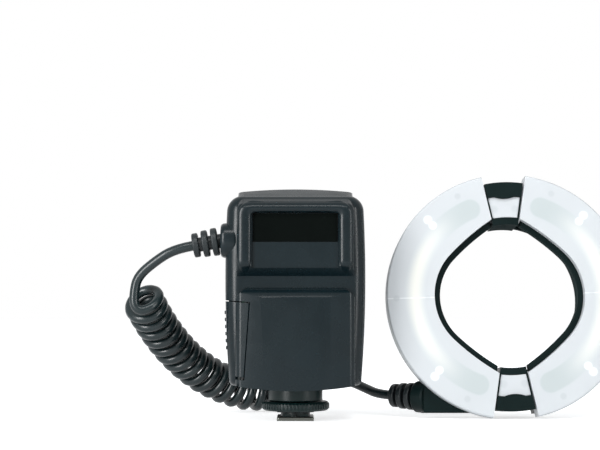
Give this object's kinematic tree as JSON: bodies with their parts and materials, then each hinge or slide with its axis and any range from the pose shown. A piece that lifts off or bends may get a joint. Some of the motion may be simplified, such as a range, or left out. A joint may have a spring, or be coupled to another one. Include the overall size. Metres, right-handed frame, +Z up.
{
  "type": "macro ring flash",
  "caption": "Macro ring flash: a control unit on a hot-shoe foot, joined by a curly cord to a round head whose two lit halves slide apart.",
  "frame": {"origin": "centre of the bottom face of the control unit's hot-shoe foot", "axes": "+Z up the control unit, front of the unit and the light face -Y, +X from the unit towards the ring head"},
  "size_m": [0.2611, 0.0968, 0.125],
  "materials": {
    "body_plastic": "fine satin moulding",
    "wheel_plastic": "satin, ridged",
    "window_black": "polished",
    "steel": "ground",
    "foot_metal": "plated",
    "inner_plastic": "moulded",
    "cell_wrap": "plain sleeve",
    "brass": "gold flash",
    "board_green": "solder mask",
    "capacitor_wrap": "plain sleeve",
    "transformer": "moulded",
    "key_plastic": "satin",
    "cord_rubber": "satin sheath",
    "ring_black": "satin",
    "diffuser_white": "frosted, translucent",
    "reflector": "bright",
    "tube_glass": "clear"
  },
  "bodies": {
    "unit": {"front_shell": "body_plastic", "rear_shell": "body_plastic", "transceiver_window": "window_black", "battery_bay": "inner_plastic", "battery_magazine": "inner_plastic", "aa_cells": "cell_wrap", "bay_contacts": "brass", "main_board": "board_green", "flash_capacitor": "capacitor_wrap", "step_up_transformer": "transformer", "display_window": "window_black", "display_module": "transformer", "flash_socket": "transformer", "neck_collar": "body_plastic", "shoe_foot": "foot_metal", "contact_block": "inner_plastic", "cord_boss": "body_plastic", "unit_strain_relief": "cord_rubber", "unit_lead": "cord_rubber", "cord_coil": "cord_rubber", "ring_lead": "cord_rubber", "ring_strain_relief": "cord_rubber", "cable_horn": "ring_black", "left_diffuser": "diffuser_white", "left_rear_tub": "ring_black", "left_lip": "ring_black", "left_reflector": "reflector", "left_flash_tube": "tube_glass", "left_trigger_board": "board_green"},
    "centre_base": {"ring_base": "ring_black", "slide_rails": "steel", "top_led_window": "diffuser_white", "bottom_led_window": "diffuser_white", "led_boards": "board_green", "head_screws": "steel"},
    "right_half": {"right_diffuser": "diffuser_white", "right_rear_tub": "ring_black", "right_lip": "ring_black", "right_reflector": "reflector", "right_flash_tube": "tube_glass", "right_trigger_board": "board_green"},
    "top_release": {"top_release_button": "ring_black"},
    "bottom_release": {"bottom_release_button": "ring_black"},
    "clamp": {"pressure_plate": "steel", "lock_pin": "steel"},
    "wheel": {"lock_wheel": "wheel_plastic"},
    "door_pin": {"door_hinge_pin": "steel"},
    "door": {"battery_door": "body_plastic"},
    "cover": {"socket_cover": "body_plastic"},
    "set_button": {"set_key": "key_plastic"},
    "up_button": {"up_key": "key_plastic"},
    "down_button": {"down_key": "key_plastic"},
    "left_button": {"left_key": "key_plastic"},
    "right_button": {"right_key": "key_plastic"},
    "power_button": {"power_key": "key_plastic"},
    "pilot_button": {"pilot_key": "key_plastic"},
    "centre_pin": {"centre_contact_pin": "brass"},
    "front_pin": {"front_contact_pin": "brass"},
    "left_pin": {"left_contact_pin": "brass"},
    "right_pin": {"right_contact_pin": "brass"}
  },
  "joints": [
    {"name": "base_slide", "type": "slide", "parent": "unit", "child": "centre_base", "axis": [0.9996, 0.0028, 0.0295], "range_m": [0, 0.009]},
    {"name": "right_half_slide", "type": "slide", "parent": "centre_base", "child": "right_half", "axis": [0.9996, 0.0028, 0.0295], "range_m": [0, 0.009]},
    {"name": "top_release_press", "type": "slide", "parent": "centre_base", "child": "top_release", "axis": [0.0297, -0.0958, -0.995], "range_m": [0, 0.0015], "stiffness_N_per_m": 900},
    {"name": "bottom_release_press", "type": "slide", "parent": "centre_base", "child": "bottom_release", "axis": [-0.0297, 0.0958, 0.995], "range_m": [0, 0.0015], "stiffness_N_per_m": 900},
    {"name": "wheel_turn", "type": "hinge", "parent": "clamp", "child": "wheel", "pos_m": [0, 0, 0.007], "axis": [0, 0, 1], "range_deg": [0, 270]},
    {"name": "clamp_slide", "type": "slide", "parent": "unit", "child": "clamp", "axis": [0, 0, -1], "range_m": [0, 0.0009]},
    {"name": "door_slide", "type": "slide", "parent": "unit", "child": "door_pin", "axis": [-0.0819, 0, -0.9966], "range_m": [0, 0.0012]},
    {"name": "door_swing", "type": "hinge", "parent": "door_pin", "child": "door", "pos_m": [-0.0256, -0.0302, 0.0392], "axis": [0.0819, 0, 0.9966], "range_deg": [0, 100]},
    {"name": "cover_swing", "type": "hinge", "parent": "unit", "child": "cover", "pos_m": [0.03385, -0.00075, 0.07], "axis": [0, 0, 1], "range_deg": [0, 100]},
    {"name": "set_press", "type": "slide", "parent": "unit", "child": "set_button", "axis": [0, -1, 0], "range_m": [0, 0.0008], "stiffness_N_per_m": 700},
    {"name": "up_press", "type": "slide", "parent": "unit", "child": "up_button", "axis": [0, -1, 0], "range_m": [0, 0.0008], "stiffness_N_per_m": 700},
    {"name": "down_press", "type": "slide", "parent": "unit", "child": "down_button", "axis": [0, -1, 0], "range_m": [0, 0.0008], "stiffness_N_per_m": 700},
    {"name": "left_press", "type": "slide", "parent": "unit", "child": "left_button", "axis": [0, -1, 0], "range_m": [0, 0.0008], "stiffness_N_per_m": 700},
    {"name": "right_press", "type": "slide", "parent": "unit", "child": "right_button", "axis": [0, -1, 0], "range_m": [0, 0.0008], "stiffness_N_per_m": 700},
    {"name": "power_press", "type": "slide", "parent": "unit", "child": "power_button", "axis": [0, -1, 0], "range_m": [0, 0.0008], "stiffness_N_per_m": 700},
    {"name": "pilot_press", "type": "slide", "parent": "unit", "child": "pilot_button", "axis": [0, -1, 0], "range_m": [0, 0.0008], "stiffness_N_per_m": 700},
    {"name": "centre_pin_travel", "type": "slide", "parent": "unit", "child": "centre_pin", "axis": [0, 0, 1], "range_m": [0, 0.0007], "stiffness_N_per_m": 400},
    {"name": "front_pin_travel", "type": "slide", "parent": "unit", "child": "front_pin", "axis": [0, 0, 1], "range_m": [0, 0.0007], "stiffness_N_per_m": 400},
    {"name": "left_pin_travel", "type": "slide", "parent": "unit", "child": "left_pin", "axis": [0, 0, 1], "range_m": [0, 0.0007], "stiffness_N_per_m": 400},
    {"name": "right_pin_travel", "type": "slide", "parent": "unit", "child": "right_pin", "axis": [0, 0, 1], "range_m": [0, 0.0007], "stiffness_N_per_m": 400}
  ],
  "couplings": [
    {"joint": "clamp_slide", "follows": "wheel_turn", "m_per_rad": 0.00019099}
  ]
}
